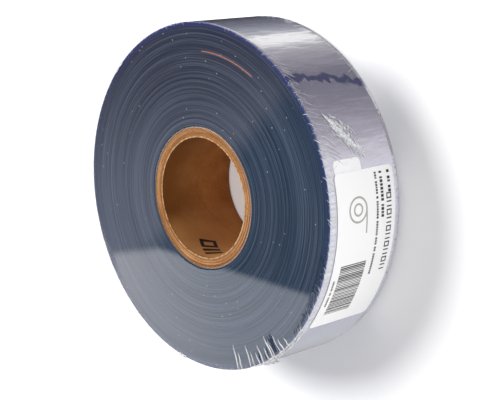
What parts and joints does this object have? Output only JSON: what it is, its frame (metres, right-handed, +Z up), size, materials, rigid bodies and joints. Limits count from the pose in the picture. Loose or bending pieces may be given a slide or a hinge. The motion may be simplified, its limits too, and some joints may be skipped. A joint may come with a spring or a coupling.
{
  "type": "acetate film roll",
  "caption": "Slit roll of clear acetate film wound on an open cardboard core, sealed in clear shrink wrap, with a paper shipping label on its side.",
  "frame": {"origin": "middle of the lower end of the wrapped roll, on the surface it stands on", "axes": "+Z up along the roll's axis, -Y towards the middle of the label's leading edge"},
  "size_m": [0.2204, 0.2204, 0.0613],
  "materials": {
    "core_board": "matte brown kraft board",
    "film": "gloss, dark blue at the slit edges",
    "wrap": "clear gloss film",
    "label_paper": "smooth white label stock",
    "ink": "printed dark ink",
    "stamp_ink": "black ink soaked into board"
  },
  "bodies": {
    "root": {"core": "core_board", "film_roll": "film", "shrink_wrap": "wrap", "under_label": "label_paper", "label": "label_paper", "label_print": "ink", "core_stamp": "stamp_ink"}
  },
  "joints": []
}
